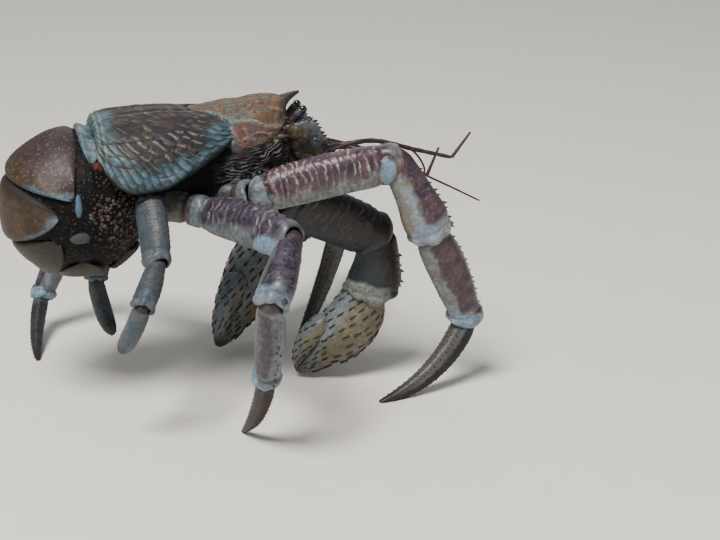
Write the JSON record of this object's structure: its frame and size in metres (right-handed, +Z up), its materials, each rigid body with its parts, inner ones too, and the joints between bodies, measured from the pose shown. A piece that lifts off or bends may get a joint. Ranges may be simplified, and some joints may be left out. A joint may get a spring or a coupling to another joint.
{
  "type": "coconut crab model",
  "caption": "Still, life-size coconut crab crouching on its walking legs, with folded pincers, a domed two-lobed carapace, plated round abdomen, stalked eyes and long feelers.",
  "frame": {"origin": "on the floor under the middle of the whole animal's box", "axes": "+X towards the crab's head, +Y towards its left side, +Z up"},
  "size_m": [0.3618, 0.3512, 0.2189],
  "materials": {
    "shell_blue": "blue-grey chitin with a dull shine",
    "shell_purple": "dark purple-brown chitin with pale scale ridges",
    "claw_pale": "cream and grey chitin with rows of black bristles",
    "flesh": "dark leathery skin with pale warts",
    "eye": "glossy black",
    "feeler": "thin red-brown horn",
    "horn_dark": "dark grey-brown horn"
  },
  "bodies": {
    "root": {"abdomen": "flesh", "antenna_base_left": "horn_dark", "antenna_base_right": "horn_dark", "antenna_whip_left": "feeler", "antenna_whip_right": "feeler", "antennule_stem_left": "feeler", "antennule_stem_right": "feeler", "antennule_tip_left": "feeler", "antennule_tip_right": "feeler", "carapace_rear": "shell_blue", "carapace_shield": "shell_purple", "claw_left_carpus": "shell_purple", "claw_left_finger": "claw_pale", "claw_left_hip": "shell_purple", "claw_left_merus": "shell_purple", "claw_left_palm": "claw_pale", "claw_right_carpus": "shell_purple", "claw_right_finger": "claw_pale", "claw_right_hip": "shell_purple", "claw_right_merus": "shell_purple", "claw_right_palm": "claw_pale", "eye_left": "eye", "eye_right": "eye", "eyestalk_left": "horn_dark", "eyestalk_right": "horn_dark", "leg_2_left_carpus": "shell_purple", "leg_2_left_dactyl": "horn_dark", "leg_2_left_hip": "shell_blue", "leg_2_left_merus": "shell_purple", "leg_2_left_propodus": "shell_purple", "leg_2_right_carpus": "shell_purple", "leg_2_right_dactyl": "horn_dark", "leg_2_right_hip": "shell_blue", "leg_2_right_merus": "shell_purple", "leg_2_right_propodus": "shell_purple", "leg_3_left_carpus": "shell_purple", "leg_3_left_dactyl": "horn_dark", "leg_3_left_hip": "shell_blue", "leg_3_left_merus": "shell_purple", "leg_3_left_propodus": "shell_purple", "leg_3_right_carpus": "shell_purple", "leg_3_right_dactyl": "horn_dark", "leg_3_right_hip": "shell_blue", "leg_3_right_merus": "shell_purple", "leg_3_right_propodus": "shell_purple", "leg_4_left_carpus": "shell_blue", "leg_4_left_hand": "shell_blue", "leg_4_left_merus": "shell_blue", "leg_4_right_carpus": "shell_blue", "leg_4_right_hand": "shell_blue", "leg_4_right_merus": "shell_blue", "mouthparts": "horn_dark", "tail_plate": "shell_purple", "tergite_1": "shell_blue", "tergite_2": "shell_purple", "tergite_3": "shell_purple", "tergite_4": "shell_purple", "tergite_5": "shell_purple", "thorax": "flesh"}
  },
  "joints": []
}
